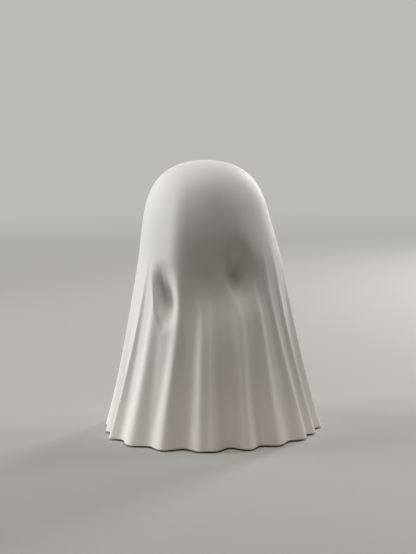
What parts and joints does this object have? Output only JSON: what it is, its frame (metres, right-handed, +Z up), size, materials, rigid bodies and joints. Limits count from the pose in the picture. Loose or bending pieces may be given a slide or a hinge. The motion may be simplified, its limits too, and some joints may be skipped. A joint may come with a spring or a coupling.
{
  "type": "ghost figurine",
  "caption": "Free-standing sheet-ghost figurine: a hollow cast shell with a rounded crown and pleated hem, closed by a cover inside the hem and carried on rubber feet.",
  "frame": {"origin": "on the surface the figurine stands on, under the middle of its hem", "axes": "+Z up to the crown; -Y is the way the hollow eyes look; +X is to the right of someone who faces them"},
  "size_m": [0.144, 0.1478, 0.178],
  "materials": {
    "shell_matt_white": "matte",
    "cover_offwhite": "matte",
    "foot_rubber": "matte"
  },
  "bodies": {
    "root": {"draped_shell": "shell_matt_white", "base_cover": "cover_offwhite", "foot_1": "foot_rubber", "foot_2": "foot_rubber", "foot_3": "foot_rubber", "foot_4": "foot_rubber"}
  },
  "joints": []
}
